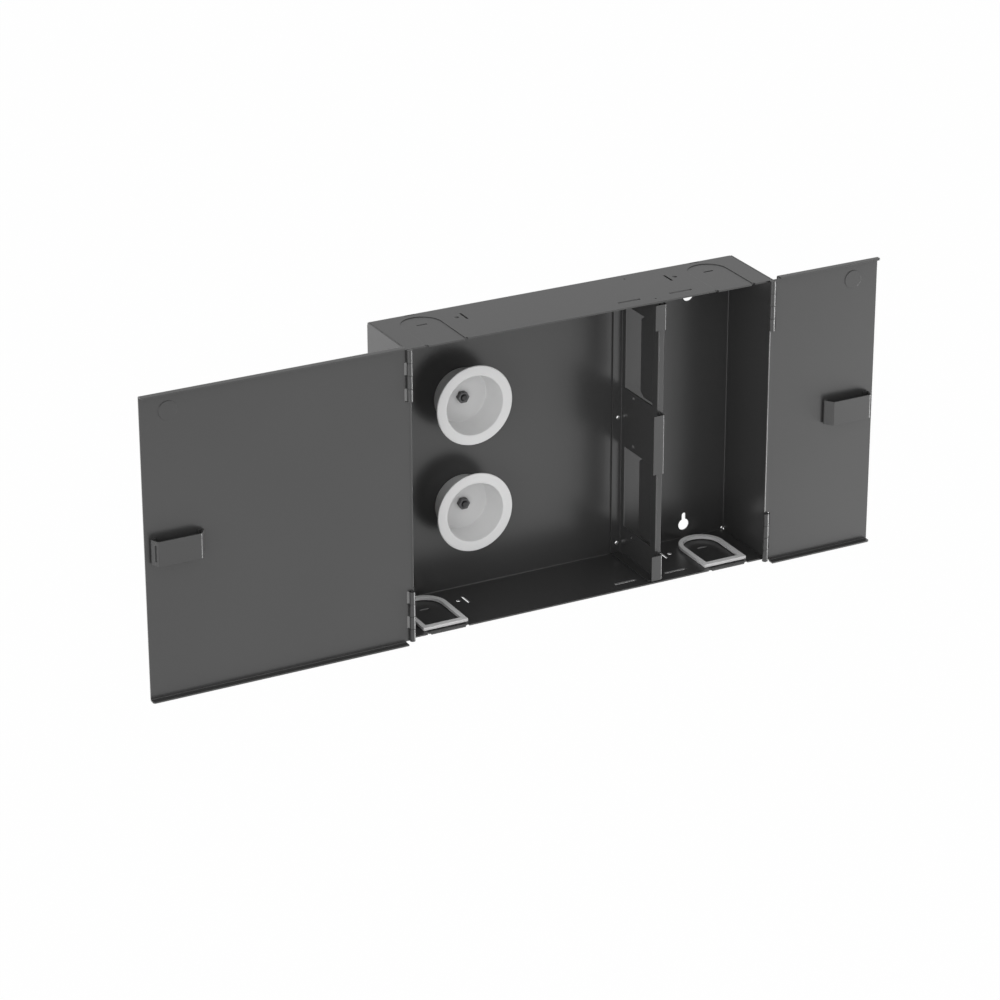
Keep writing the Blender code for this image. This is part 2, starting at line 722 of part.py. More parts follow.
def bolt_faces():
    """The latch bolt's two broad faces, as door Y measured from the hinge axis, front one first."""
    plate_inner = DOOR_INNER_FACE - BRACKET_DEPTH + SHEET
    front = plate_inner + BOLT_BEHIND_PLATE
    return front, front + BOLT_THICKNESS


def bolt_closed_insets():
    """Insets of the bolt's broad faces once its door is closed."""
    front, rear = bolt_faces()
    axis_inset = HINGE_Y - FRONT_Y
    return axis_inset - rear, axis_inset - front


def add_door_axis(name, side):
    """An empty on the hinge axis of one door, which carries the door's pieces."""
    axis = bpy.data.objects.new(name, None)
    bpy.context.scene.collection.objects.link(axis)
    axis.location = (side * HINGE_X, HINGE_Y, 0)
    return axis


def bolt_end_x(reach):
    """Distance from the hinge axis to the free end of the latch bolt."""
    front, _ = bolt_faces()
    share = (DOOR_INNER_FACE - front) / BRACKET_DEPTH
    return reach - BRACKET_FREE_GAP - share * BRACKET_STEEP_RUN


def make_door(name, side, reach, axis, material):
    """One door, drawn from its hinge axis outwards along +X and mirrored for the left side."""
    middle = SHEET / 2
    mirrored = side < 0
    face_y = KNUCKLE_RADIUS - middle
    tip_y = KNUCKLE_RADIUS - DOOR_FLANGE_DEPTH
    top_z = DOOR_TOP_Z - middle
    bottom_z = DOOR_BOTTOM_Z + middle
    pan = bent_line(
        [(tip_y, top_z), (face_y, top_z), (face_y, bottom_z), (tip_y, bottom_z)],
        DOOR_FLANGE_BEND_RADIUS + middle,
    )
    sheet = (strip_outline(pan, SHEET), "X", DOOR_FLANGE_START, reach)
    door = add_object(name, mesh_of_prisms(name, [sheet], mirrored), material, axis)

    roll = arc_line((0, 0), face_y, math.pi / 2, math.pi / 2 + ROLL_SWEEP, ROLL_STEPS)
    leaf_end = DOOR_FLANGE_START + SHEET
    leaf = [(leaf_end, face_y, math.pi)] + roll
    hinge_top = HINGE_INNER_Z + HINGE_LENGTH
    shape_with(
        door, "UNION", [(strip_outline(leaf, SHEET), "Z", -hinge_top, hinge_top)], mirrored
    )
    reach_round = 2 * KNUCKLE_RADIUS
    notch_x = KNUCKLE_RADIUS + DOOR_NOTCH_CLEARANCE
    notch = rectangle(-reach_round, -reach_round, notch_x, reach_round)
    below_sheet = DOOR_INNER_FACE / 2
    edge_cut = [
        (-reach_round, -reach_round),
        (notch_x, -reach_round),
        (notch_x, below_sheet),
        (DOOR_EDGE_FROM_AXIS, below_sheet),
        (DOOR_EDGE_FROM_AXIS, reach_round),
        (-reach_round, reach_round),
    ]
    gaps = spans_between(knuckle_spans(True), -hinge_top, hinge_top)[1:-1]
    clearings = []
    for low, high in gaps:
        if low < 0 < high:
            clear_z = HINGE_INNER_Z - KNUCKLE_END_GAP
            clearings.append((notch, "Z", low, -clear_z))
            clearings.append((edge_cut, "Z", -clear_z, clear_z))
            clearings.append((notch, "Z", clear_z, high))
        else:
            clearings.append((notch, "Z", low, high))
    for prism in clearings:
        shape_with(door, "DIFFERENCE", [prism], mirrored)

    disc = circle((reach - LOCK_DISC_FROM_FREE_EDGE, LOCK_DISC_Z), LOCK_DISC_RADIUS)
    pad = (disc, "Y", DOOR_INNER_FACE - SHEAR_STEP, DOOR_INNER_FACE + SHEET / 3)
    recess = (disc, "Y", KNUCKLE_RADIUS - SHEAR_STEP, KNUCKLE_RADIUS + SHEET)
    shape_with(door, "UNION", [pad], mirrored)
    shape_with(door, "DIFFERENCE", [recess], mirrored)

    through_y = ("Y", DOOR_INNER_FACE - SHEET, KNUCKLE_RADIUS + SHEET)
    knob_x = bolt_end_x(reach) - KNOB_FROM_BOLT_END
    slot_width = 2 * (KNOB_SHANK_RADIUS + SEAT_GAP)
    slot = centred_rectangle(
        (knob_x + LATCH_TRAVEL / 2, 0), (LATCH_TRAVEL + slot_width, slot_width)
    )
    shape_with(door, "DIFFERENCE", [(slot, *through_y)], mirrored)

    radius = DOOR_FLANGE_CORNER_RADIUS
    rounding = [
        (reach - radius, tip_y - SHEET),
        (reach + SHEET, tip_y - SHEET),
        (reach + SHEET, tip_y + radius),
    ]
    rounding += arc((reach - radius, tip_y + radius), radius, 0, -math.pi / 2, BEND_STEPS * 2)
    beyond = SHEET
    shape_with(
        door,
        "DIFFERENCE",
        [(rounding, "Z", DOOR_BOTTOM_Z - beyond, DOOR_TOP_Z + beyond)],
        mirrored,
    )
    return door


def make_bracket(name, side, reach, axis, material):
    """A hat-shaped catch bracket on the door's inner face, open above and below."""
    middle = SHEET / 2
    foot_y = DOOR_INNER_FACE - SEAT_GAP - middle
    plate_y = DOOR_INNER_FACE - BRACKET_DEPTH + middle
    free_x = reach - BRACKET_FREE_GAP - middle
    plate_end_x = free_x - BRACKET_STEEP_RUN
    plate_start_x = plate_end_x - BRACKET_PLATE_LENGTH + SHEET
    base_x = plate_start_x - BRACKET_SLOPE_RUN
    path = bent_line(
        [
            (base_x + BRACKET_FOOT, foot_y),
            (base_x, foot_y),
            (plate_start_x, plate_y),
            (plate_end_x, plate_y),
            (free_x, foot_y),
            (free_x - BRACKET_FOOT, foot_y),
        ],
        TIGHT_BEND_RADIUS + middle,
    )
    half = BRACKET_HEIGHT / 2
    bracket = add_object(
        name,
        mesh_of_prisms(name, [(strip_outline(path, SHEET), "Z", -half, half)], side < 0),
        material,
        axis,
    )
    front, rear = bolt_faces()
    window = rectangle(
        front - BOLT_SIDE_CLEARANCE,
        -BOLT_HEIGHT / 2 - BOLT_SIDE_CLEARANCE,
        rear + BOLT_SIDE_CLEARANCE,
        BOLT_HEIGHT / 2 + BOLT_SIDE_CLEARANCE,
    )
    shape_with(bracket, "DIFFERENCE", [(window, "X", plate_end_x - SHEET, reach)], side < 0)
    return bracket


def make_bolt(name, side, reach, axis, material):
    """The flat bolt that slides out of the bracket's steep end."""
    end_x = bolt_end_x(reach)
    front, rear = bolt_faces()
    half = BOLT_HEIGHT / 2
    plate = rectangle(end_x - BOLT_LENGTH, -half, end_x, half)
    bolt = add_object(
        name, mesh_of_prisms(name, [(plate, "Y", front, rear)], side < 0), material, axis
    )
    hole = circle((end_x - KNOB_FROM_BOLT_END, 0), KNOB_SHANK_RADIUS + SEAT_GAP, 16)
    shape_with(bolt, "DIFFERENCE", [(hole, "Y", front - SHEET, rear + SHEET)], side < 0)
    return bolt


def make_knob(name, side, reach, axis, material):
    """The thumb knob: a head outside the door and a shouldered shank through it to the bolt."""
    front, rear = bolt_faces()
    head_low = KNUCKLE_RADIUS + SEAT_GAP
    head_high = head_low + KNOB_HEAD_HEIGHT
    shoulder_high = DOOR_INNER_FACE - SEAT_GAP
    chamfer = KNOB_HEAD_HEIGHT / 4
    profile = [
        (0, front),
        (KNOB_SHANK_RADIUS, front),
        (KNOB_SHANK_RADIUS, rear + SEAT_GAP),
        (KNOB_SHOULDER_RADIUS, rear + SEAT_GAP),
        (KNOB_SHOULDER_RADIUS, shoulder_high),
        (KNOB_SHANK_RADIUS, shoulder_high),
        (KNOB_SHANK_RADIUS, head_low),
        (KNOB_HEAD_RADIUS, head_low),
        (KNOB_HEAD_RADIUS, head_high - chamfer),
        (KNOB_HEAD_RADIUS - chamfer, head_high),
        (0, head_high),
    ]
    knob = add_object(name, turned_mesh(name, profile, ROUND_STEPS), material, axis)
    knob.location = (side * (bolt_end_x(reach) - KNOB_FROM_BOLT_END), 0, 0)
    return knob


def make_hinge_pin(name, side, upper, mesh, material):
    """A plain pin through the four knuckles of one hinge."""
    pin = add_object(name, mesh, None)
    pin.location = (side * HINGE_X, HINGE_Y, HINGE_INNER_Z if upper else -HINGE_INNER_Z - HINGE_LENGTH)
    if not mesh.materials:
        mesh.materials.append(material)
    return pin


def spool_mesh():
    """A cup with a flared front flange, turned about its own axis, rear face at y = 0."""
    front = -SPOOL_DEPTH
    flange_rear = front + SPOOL_FLANGE_THICKNESS
    mouth = SPOOL_FRONT_RADIUS - SPOOL_WALL
    floor = SPOOL_REAR_RADIUS - SPOOL_WALL
    hole = STUD_RADIUS + SPOOL_HOLE_CLEARANCE
    rim = SPOOL_FLANGE_THICKNESS / 2
    profile = [
        (hole, 0),
        (SPOOL_REAR_RADIUS, 0),
        (SPOOL_FRONT_RADIUS, flange_rear),
        (SPOOL_FLANGE_RADIUS - rim, flange_rear),
        (SPOOL_FLANGE_RADIUS, flange_rear - rim),
        (SPOOL_FLANGE_RADIUS - rim, front),
        (mouth + rim, front),
        (mouth, front + rim),
        (floor, -SPOOL_WALL),
        (hole, -SPOOL_WALL),
    ]
    return turned_mesh("spool", profile, SPOOL_STEPS)


def stud_mesh():
    """A welded stud that passes through the spool's floor and its nut."""
    length = SEAT_GAP + SPOOL_WALL + SEAT_GAP + NUT_THICKNESS + STUD_PROUD
    tip = STUD_RADIUS / 6
    profile = [
        (0, 0),
        (STUD_RADIUS, 0),
        (STUD_RADIUS, tip - length),
        (STUD_RADIUS - tip, -length),
        (0, -length),
    ]
    return turned_mesh("stud", profile, ROUND_STEPS)


def nut_mesh():
    """A hexagon nut with chamfered corners, rear face at y = 0."""
    corner_radius = NUT_ACROSS_FLATS / 2 / math.cos(math.pi / 6)
    hexagon = circle((0, 0), corner_radius, 6)
    return mesh_of_prisms("nut", [(hexagon, "Y", -NUT_THICKNESS, 0)])


def make_spool_set(level, z, materials):
    """One spool with the stud and nut that hold it to the back wall."""
    spool = add_object(f"{level}_spool", spool_mesh(), materials["plastic"])
    spool.location = (SPOOL_X, SEAT_Y, z)
    stud = add_object(f"{level}_spool_stud", stud_mesh(), materials["zinc"])
    stud.location = (SPOOL_X, SEAT_Y, z)
    nut = add_object(f"{level}_spool_nut", nut_mesh(), materials["zinc"])
    nut.location = (SPOOL_X, SEAT_Y - SPOOL_WALL - SEAT_GAP, z)
    bore = circle((0, 0), STUD_RADIUS + SEAT_GAP, 16)
    shape_with(nut, "DIFFERENCE", [(bore, "Y", -2 * NUT_THICKNESS, NUT_THICKNESS)])


def make_trim(name, side, material):
    """A D-shaped plastic edging round one cable port, lying on the bottom wall."""
    floor_z = SHEET - HALF_HEIGHT + SEAT_GAP
    arc_y = inset_y(KNOCKOUT_STRAIGHT)
    front_y = inset_y(TRIM_FRONT_INSET)
    x = side * KNOCKOUT_X
    outer = TRIM_OUTER_HALF_WIDTH
    inner = TRIM_OUTER_HALF_WIDTH - TRIM_BAR
    rim = [(x + outer, front_y)]
    rim += arc((x, arc_y), outer, 0, math.pi, ROUND_STEPS)
    rim += [(x - outer, front_y)]
    mesh = mesh_of_prisms(name, [(rim, "Z", floor_z, floor_z + TRIM_HEIGHT)])
    trim = add_object(name, mesh, material)
    port = [(x + inner, front_y + TRIM_FRONT_BAR)]
    port += arc((x, arc_y), inner, 0, math.pi, ROUND_STEPS)
    port += [(x - inner, front_y + TRIM_FRONT_BAR)]
    shape_with(
        trim, "DIFFERENCE", [(port, "Z", floor_z - TRIM_HEIGHT, floor_z + 2 * TRIM_HEIGHT)]
    )
    return trim


def main():
    clear_scene()
    materials = {
        "paint": make_material("black_powder_coat", (0.045, 0.045, 0.047), 0.45, 0.0),
        "plastic": make_material("pale_grey_plastic", (0.52, 0.52, 0.53), 0.4, 0.0),
        "zinc": make_material("zinc_plated_steel", (0.25, 0.25, 0.26), 0.4, 0.8),
        "steel": make_material("dark_pin_steel", (0.06, 0.06, 0.065), 0.4, 0.7),
        "trim": make_material("grey_edging_plastic", (0.35, 0.35, 0.36), 0.5, 0.0),
    }
    make_enclosure_body(materials["paint"])
    make_divider(materials["paint"])
    pin_mesh = rod_mesh("hinge_pin", PIN_RADIUS, HINGE_LENGTH)
    for word, side, reach in (("left", -1, LEFT_DOOR_REACH), ("right", 1, RIGHT_DOOR_REACH)):
        axis = add_door_axis(f"{word}_hinge_axis", side)
        make_door(f"{word}_door", side, reach, axis, materials["paint"])
        make_bracket(f"{word}_catch_bracket", side, reach, axis, materials["paint"])
        make_bolt(f"{word}_latch_bolt", side, reach, axis, materials["paint"])
        make_knob(f"{word}_thumb_knob", side, reach, axis, materials["paint"])
        for level in ("upper", "lower"):
            make_hinge_pin(
                f"{word}_{level}_hinge_pin", side, level == "upper", pin_mesh, materials["steel"]
            )
        make_trim(f"{word}_port_trim", side, materials["trim"])
    make_spool_set("upper", SPOOL_UPPER_Z, materials)
    make_spool_set("lower", SPOOL_LOWER_Z, materials)


main()
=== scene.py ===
"""Looks of a wall-mount fibre enclosure: finishes, turned plastic and hardware, light and camera."""

from __future__ import annotations

import json
import logging
import math
from dataclasses import dataclass
from enum import Enum

import bmesh
import bpy
from mathutils import Matrix, Vector

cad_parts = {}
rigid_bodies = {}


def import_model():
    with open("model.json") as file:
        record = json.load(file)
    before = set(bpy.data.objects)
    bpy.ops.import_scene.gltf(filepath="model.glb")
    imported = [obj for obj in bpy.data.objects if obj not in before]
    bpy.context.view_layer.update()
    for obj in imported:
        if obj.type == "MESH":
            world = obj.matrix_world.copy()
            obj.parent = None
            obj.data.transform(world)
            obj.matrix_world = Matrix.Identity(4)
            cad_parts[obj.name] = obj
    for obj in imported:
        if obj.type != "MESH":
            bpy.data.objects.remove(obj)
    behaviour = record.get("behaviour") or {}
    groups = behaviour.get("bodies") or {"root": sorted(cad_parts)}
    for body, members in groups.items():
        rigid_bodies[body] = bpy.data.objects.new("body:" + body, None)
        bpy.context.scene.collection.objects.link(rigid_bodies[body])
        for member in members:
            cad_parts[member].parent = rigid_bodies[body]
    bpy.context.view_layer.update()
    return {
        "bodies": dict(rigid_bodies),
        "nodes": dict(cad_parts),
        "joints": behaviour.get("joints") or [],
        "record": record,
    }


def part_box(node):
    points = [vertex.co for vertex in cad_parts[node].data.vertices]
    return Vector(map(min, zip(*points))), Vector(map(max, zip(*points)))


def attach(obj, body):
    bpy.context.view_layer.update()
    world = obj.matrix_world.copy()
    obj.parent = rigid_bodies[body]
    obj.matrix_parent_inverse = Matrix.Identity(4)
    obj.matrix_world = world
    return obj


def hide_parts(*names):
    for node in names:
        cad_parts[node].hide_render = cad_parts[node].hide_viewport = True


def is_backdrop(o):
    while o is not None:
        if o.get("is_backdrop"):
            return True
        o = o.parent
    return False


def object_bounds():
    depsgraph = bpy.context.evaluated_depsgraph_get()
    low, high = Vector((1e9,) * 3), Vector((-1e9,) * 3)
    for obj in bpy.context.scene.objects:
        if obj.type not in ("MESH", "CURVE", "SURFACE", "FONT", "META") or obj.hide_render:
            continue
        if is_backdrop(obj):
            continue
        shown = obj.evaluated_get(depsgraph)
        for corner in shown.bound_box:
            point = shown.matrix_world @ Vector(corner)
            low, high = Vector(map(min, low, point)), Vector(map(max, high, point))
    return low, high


LOG = logging.getLogger("enclosure")
WELD_DISTANCE = 1e-5
DOUBLES_DISTANCE = 1e-7
SMOOTH_ANGLE = math.radians(32)
BEVEL_SAMPLES = 6
CLOUD_MIDDLE = 0.5
CLOUD_WIDTH = 0.7
GRAIN_DETAIL = 3.0
GRAIN_ROUGHNESS = 0.6
RELIEF_STRENGTH = 0.6
Colour = tuple[float, float, float]
Direction = tuple[float, float, float]
Profile = list[tuple[float, float]]


def grey(tone: float) -> Colour:
    """A neutral colour."""
    return (tone, tone, tone)


class Shade:
    """One socket of a shader tree, with arithmetic that adds Math nodes."""

    def __init__(self, tree: bpy.types.NodeTree, socket: bpy.types.NodeSocket) -> None:
        """Keep the tree and the socket.

        Args:
            tree: The material's node tree.
            socket: The output that carries the value.
        """
        self.tree = tree
        self.socket = socket

    def _math(self, operation: str, *values: Shade | float) -> Shade:
        """Add one Math node.

        Args:
            operation: The node's operation.
            values: Its inputs, sockets or numbers.

        Returns:
            The node's result.
        """
        node = self.tree.nodes.new("ShaderNodeMath")
        node.operation = operation
        for index, value in enumerate(values):
            if isinstance(value, Shade):
                self.tree.links.new(value.socket, node.inputs[index])
            else:
                node.inputs[index].default_value = value
        return Shade(self.tree, node.outputs[0])

    def __add__(self, other: Shade | float) -> Shade:
        """Sum of two values."""
        return self._math("ADD", self, other)

    __radd__ = __add__

    def __mul__(self, other: Shade | float) -> Shade:
        """Product of two values."""
        return self._math("MULTIPLY", self, other)

    __rmul__ = __mul__

    def __sub__(self, other: Shade | float) -> Shade:
        """This value less another."""
        return self._math("SUBTRACT", self, other)

    def __rsub__(self, other: float) -> Shade:
        """A number less this value."""
        return self._math("SUBTRACT", other, self)

    def above(self, level: float, width: float) -> Shade:
        """A soft step that rises from 0 to 1 about a level.

        Args:
            level: The middle of the step.
            width: How far the rise spreads.

        Returns:
            The step, kept between 0 and 1.
        """
        node = self.tree.nodes.new("ShaderNodeMapRange")
        node.interpolation_type = "SMOOTHSTEP"
        self.tree.links.new(self.socket, node.inputs["Value"])
        node.inputs["From Min"].default_value = level - width / 2
        node.inputs["From Max"].default_value = level + width / 2
        return Shade(self.tree, node.outputs["Result"])


class Paint:
    """A material under construction."""

    def __init__(self, name: str) -> None:
        """Start a material with an empty Principled shader.

        Args:
            name: The finish's name.
        """
        self.material = bpy.data.materials.new(name)
        self.material.use_nodes = True
        self.tree = self.material.node_tree
        self.shader = self.tree.nodes["Principled BSDF"]

    def node(self, kind: str, settings: dict[str, object], **inputs: object) -> bpy.types.Node:
        """Add a node.

        Args:
            kind: The node's type.
            settings: Attributes to set before its sockets.
            inputs: Values or links by socket name, spaces written as underscores.

        Returns:
            The new node.
        """
        made = self.tree.nodes.new(kind)
        for key, value in settings.items():
            setattr(made, key, value)
        for key, value in inputs.items():
            socket = made.inputs[key.replace("_", " ")]
            if isinstance(value, Shade):
                self.tree.links.new(value.socket, socket)
            elif isinstance(value, bpy.types.NodeSocket):
                self.tree.links.new(value, socket)
            else:
                socket.default_value = value
        return made

    def place(self) -> bpy.types.NodeSocket:
        """Object coordinates, which stay on the surface."""
        return self.node("ShaderNodeTexCoord", {}).outputs["Object"]

    def noise(self, scale: float, detail: float = 2.0, roughness: float = 0.5) -> Shade:
        """A noise field over the surface.

        Args:
            scale: Bumps in a metre.
            detail: Octaves.
            roughness: How strong the finer octaves are.

        Returns:
            The noise, from 0 to 1.
        """
        made = self.node(
            "ShaderNodeTexNoise",
            {},
            Vector=self.place(),
            Scale=scale,
            Detail=detail,
            Roughness=roughness,
        )
        return Shade(self.tree, made.outputs["Fac"])

    def mix(self, amount: Shade, low: Colour, high: Colour) -> bpy.types.NodeSocket:
        """Blend two colours.

        Args:
            amount: Share of the second colour.
            low: First colour.
            high: Second colour.

        Returns:
            The blended colour's socket.
        """
        made = self.tree.nodes.new("ShaderNodeMix")
        made.data_type = "RGBA"
        colour_inputs = [socket for socket in made.inputs if socket.type == "RGBA"]
        self.tree.links.new(amount.socket, made.inputs[0])
        colour_inputs[0].default_value = (*low, 1)
        colour_inputs[1].default_value = (*high, 1)
        return next(socket for socket in made.outputs if socket.type == "RGBA")

    def feed(self, name: str, value: Shade | bpy.types.NodeSocket | float) -> None:
        """Set or link one input of the shader.

        Args:
            name: The socket's name.
            value: A number or a link.
        """
        socket = self.shader.inputs[name]
        if isinstance(value, Shade):
            self.tree.links.new(value.socket, socket)
        elif isinstance(value, bpy.types.NodeSocket):
            self.tree.links.new(value, socket)
        else:
            socket.default_value = value

    def bump(self, height: Shade, distance: float, edge_radius: float) -> None:
        """Give the surface a relief and softly rounded edges.

        Args:
            height: The relief.
            distance: Its height in metres.
            edge_radius: Radius that edges are shaded with, in metres.
        """
        bevel = self.node("ShaderNodeBevel", {"samples": BEVEL_SAMPLES}, Radius=edge_radius)
        made = self.node(
            "ShaderNodeBump",
            {},
            Height=height,
            Strength=RELIEF_STRENGTH,
            Distance=distance,
            Normal=bevel.outputs["Normal"],
        )
        self.feed("Normal", made.outputs["Normal"])


@dataclass(frozen=True)
class Finish:
    """A surface: its two tones, gloss and fine relief. Lengths are in metres."""

    name: str
    tone: Colour
    tone_low: Colour
    roughness: float
    roughness_spread: float
    grain_scale: float
    grain_height: float
    edge_radius: float
    metallic: float = 0.0
    ior: float = 1.5
    cloud_scale: float = 38.0
    cloud_detail: float = 3.0

    def make(self) -> bpy.types.Material:
        """Build the material."""
        paint = Paint(self.name)
        cloud = paint.noise(self.cloud_scale, self.cloud_detail)
        grain = paint.noise(self.grain_scale, GRAIN_DETAIL, GRAIN_ROUGHNESS)
        share = cloud.above(CLOUD_MIDDLE, CLOUD_WIDTH)
        paint.feed("Base Color", paint.mix(share, self.tone_low, self.tone))
        paint.feed("Roughness", self.roughness + (cloud - CLOUD_MIDDLE) * self.roughness_spread)
        paint.feed("Metallic", self.metallic)
        paint.feed("IOR", self.ior)
        paint.bump(grain, self.grain_height, self.edge_radius)
        return paint.material


class Finishes(Enum):
    """The object's finishes."""

    POWDER_COAT = Finish(
        name="powder_coat_finish",
        tone=grey(0.0415),
        tone_low=grey(0.0385),
        roughness=0.28,
        roughness_spread=0.02,
        grain_scale=1400.0,
        grain_height=0.000004,
        edge_radius=0.0003,
        ior=1.58,
        cloud_scale=9.0,
        cloud_detail=0.0,
    )
    SPOOL_PLASTIC = Finish(
        name="spool_plastic_finish",
        tone=grey(0.69),
        tone_low=grey(0.67),
        roughness=0.42,
        roughness_spread=0.08,
        grain_scale=1800.0,
        grain_height=0.00001,
        edge_radius=0.0004,
    )
    TRIM_PLASTIC = Finish(
        name="trim_plastic_finish",
        tone=grey(0.76),
        tone_low=grey(0.73),
        roughness=0.45,
        roughness_spread=0.08,
        grain_scale=1800.0,
        grain_height=0.00001,
        edge_radius=0.0003,
    )
    ZINC_STEEL = Finish(
        name="zinc_steel_finish",
        tone=(0.10, 0.10, 0.102),
        tone_low=(0.07, 0.07, 0.072),
        roughness=0.38,
        roughness_spread=0.12,
        grain_scale=2600.0,
        grain_height=0.00001,
        edge_radius=0.0002,
        metallic=0.7,
    )
    STUD_STEEL = Finish(
        name="stud_steel_finish",
        tone=(0.05, 0.05, 0.051),
        tone_low=(0.04, 0.04, 0.041),
        roughness=0.42,
        roughness_spread=0.10,
        grain_scale=2600.0,
        grain_height=0.00001,
        edge_radius=0.0002,
        metallic=0.5,
    )
    PIN_STEEL = Finish(
        name="pin_steel_finish",
        tone=grey(0.06),
        tone_low=grey(0.05),
        roughness=0.40,
        roughness_spread=0.10,
        grain_scale=2000.0,
        grain_height=0.00001,
        edge_radius=0.0002,
        metallic=0.2,
    )


class Workshop:
    """Keeps the frame and the made materials, and dresses pieces with them."""

    bevel_segments = 3

    def __init__(self, frame: dict) -> None:
        """Take the frame.

        Args:
            frame: What the frame loader returned.
        """
        self.nodes: dict[str, bpy.types.Object] = frame["nodes"]
        self.materials: dict[Finishes, bpy.types.Material] = {}

    def material(self, finish: Finishes) -> bpy.types.Material:
        """The material of a finish, made once.

        Args:
            finish: Which finish.

        Returns:
            Its material.
        """
        if finish not in self.materials:
            self.materials[finish] = finish.value.make()
        return self.materials[finish]

    def dress_node(self, name: str, finish: Finishes, softened: float = 0.0) -> None:
        """Give a solid of the frame its finish and smooth bends.

        Args:
            name: The node.
            finish: Its finish.
            softened: Width of the rounding along its edges, 0 for none.
        """
        piece = self.nodes[name]
        piece.data.materials.clear()
        piece.data.materials.append(self.material(finish))
        piece.data.polygons.foreach_set("use_smooth", [True] * len(piece.data.polygons))
        weld = piece.modifiers.new("joined_facets", "WELD")
        weld.merge_threshold = WELD_DISTANCE
        if softened:
            bevel = piece.modifiers.new("rounded_edges", "BEVEL")
            bevel.width = softened
            bevel.segments = self.bevel_segments
            bevel.limit_method = "ANGLE"
            bevel.angle_limit = SMOOTH_ANGLE
            bevel.use_clamp_overlap = True
        split = piece.modifiers.new("crisp_edges", "EDGE_SPLIT")
        split.split_angle = SMOOTH_ANGLE
        weighted = piece.modifiers.new("flat_faces_stay_flat", "WEIGHTED_NORMAL")
        weighted.keep_sharp = True
        LOG.info("dressed %s", name)

    def add_piece(
        self,
        name: str,
        shell: bmesh.types.BMesh,
        finish: Finishes,
        body: str,
        slot: str,
        stands_for: tuple[str, ...] = (),
    ) -> bpy.types.Object:
        """Turn a finished mesh into a piece of the object.

        Args:
            name: The piece's name.
            shell: Its mesh, in place.
            finish: Its finish.
            body: The body that it rides on.
            slot: The record's material slot; not used.
            stands_for: Nodes that it replaces.

        Returns:
            The new object.
        """
        bmesh.ops.remove_doubles(shell, verts=shell.verts, dist=DOUBLES_DISTANCE)
        bmesh.ops.recalc_face_normals(shell, faces=shell.faces)
        mesh = bpy.data.meshes.new(name)
        shell.to_mesh(mesh)
        shell.free()
        mesh.shade_smooth()
        mesh.set_sharp_from_angle(angle=SMOOTH_ANGLE)
        mesh.materials.append(self.material(finish))
        piece = bpy.data.objects.new(name, mesh)
        bpy.context.scene.collection.objects.link(piece)
        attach(piece, body)
        if stands_for:
            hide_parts(*stands_for)
        LOG.info("made %s", name)
        return piece


def turned(profile: Profile, centre: Vector, steps: int) -> bmesh.types.BMesh:
    """Turn a closed profile about an axis that runs along Y.

    Args:
        profile: Points as (radius, y), y counted from the centre.
        centre: A point on the axis.
        steps: Divisions of the full turn.

    Returns:
        The turned mesh.
    """
    shell = bmesh.new()
    ring = [shell.verts.new((radius, y, 0)) for radius, y in profile]
    pairs = [(a, b) for a, b in zip(ring, ring[1:] + ring[:1]) if a.co.x > 0 or b.co.x > 0]
    edges = [shell.edges.new(pair) for pair in pairs]
    bmesh.ops.spin(
        shell,
        geom=ring + edges,
        cent=(0, 0, 0),
        axis=(0, 1, 0),
        angle=2 * math.pi,
        steps=steps,
        use_merge=True,
    )
    bmesh.ops.translate(shell, verts=shell.verts, vec=centre)
    return shell


def rounded(corners: Profile, radii: list[float], steps: int = 6) -> Profile:
    """Round the corners of a closed profile.

    Args:
        corners: Its corner points.
        radii: The radius of each corner, 0 for a sharp one.
        steps: Divisions of each rounding.

    Returns:
        The profile with its arcs.
    """
    points: Profile = []
    count = len(corners)
    for index, (corner, radius) in enumerate(zip(corners, radii)):
        if radius == 0:
            points.append(corner)
            continue
        here = Vector(corner)
        back = (Vector(corners[index - 1]) - here).normalized()
        ahead = (Vector(corners[(index + 1) % count]) - here).normalized()
        half = back.angle(ahead) / 2
        setback = radius / math.tan(half)
        middle = here + (back + ahead).normalized() * (radius / math.sin(half))
        start = here + back * setback - middle
        end = here + ahead * setback - middle
        sweep = math.remainder(
            math.atan2(end.y, end.x) - math.atan2(start.y, start.x), 2 * math.pi
        )
        first = math.atan2(start.y, start.x)
        for step in range(steps + 1):
            angle = first + sweep * step / steps
            points.append(
                (middle.x + radius * math.cos(angle), middle.y + radius * math.sin(angle))
            )
    return points


@dataclass
class Sheetwork:
    """The bent and painted steel: the box, the divider, the doors and their catches."""

    shop: Workshop
    painted: tuple[str, ...] = (
        "enclosure_body",
        "divider_panel",
        "left_door",
        "right_door",
        "left_catch_bracket",
        "right_catch_bracket",
        "left_latch_bolt",
        "right_latch_bolt",
        "left_thumb_knob",
        "right_thumb_knob",
    )
    pins: tuple[str, ...] = (
        "left_upper_hinge_pin",
        "left_lower_hinge_pin",
        "right_upper_hinge_pin",
        "right_lower_hinge_pin",
    )

    def build(self) -> None:
        """Dress the painted sheet and the hinge pins."""
        for name in self.painted:
            self.shop.dress_node(name, Finishes.POWDER_COAT)
        for name in self.pins:
            self.shop.dress_node(name, Finishes.PIN_STEEL)


